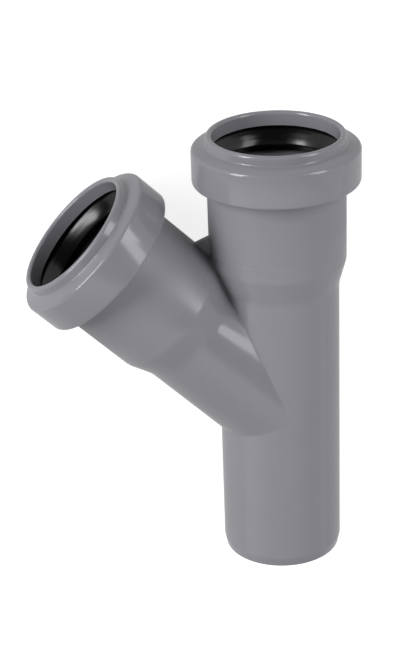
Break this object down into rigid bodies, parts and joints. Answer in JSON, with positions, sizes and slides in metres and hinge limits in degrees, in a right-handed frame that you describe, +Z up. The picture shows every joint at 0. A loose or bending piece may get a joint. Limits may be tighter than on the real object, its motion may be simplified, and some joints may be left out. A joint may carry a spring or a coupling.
{
  "type": "lateral wye fitting",
  "caption": "Push-fit drain branch at 45 degrees: a moulded body with a plain spigot, a socket in line and a socket on the branch, and a rubber lip ring in each.",
  "frame": {"origin": "on the surface that the fitting lies on, under the middle of its box", "axes": "+Y from the spigot towards the straight socket, +Z up, and the branch leans towards -X"},
  "size_m": [0.137, 0.1888, 0.0686],
  "materials": {
    "body_plastic": "grey moulded polypropylene, slightly glossy",
    "seal_rubber": "black moulded rubber, lubricated lip"
  },
  "bodies": {
    "root": {"fitting_body": "body_plastic", "run_socket_seal": "seal_rubber", "branch_socket_seal": "seal_rubber"}
  },
  "joints": []
}
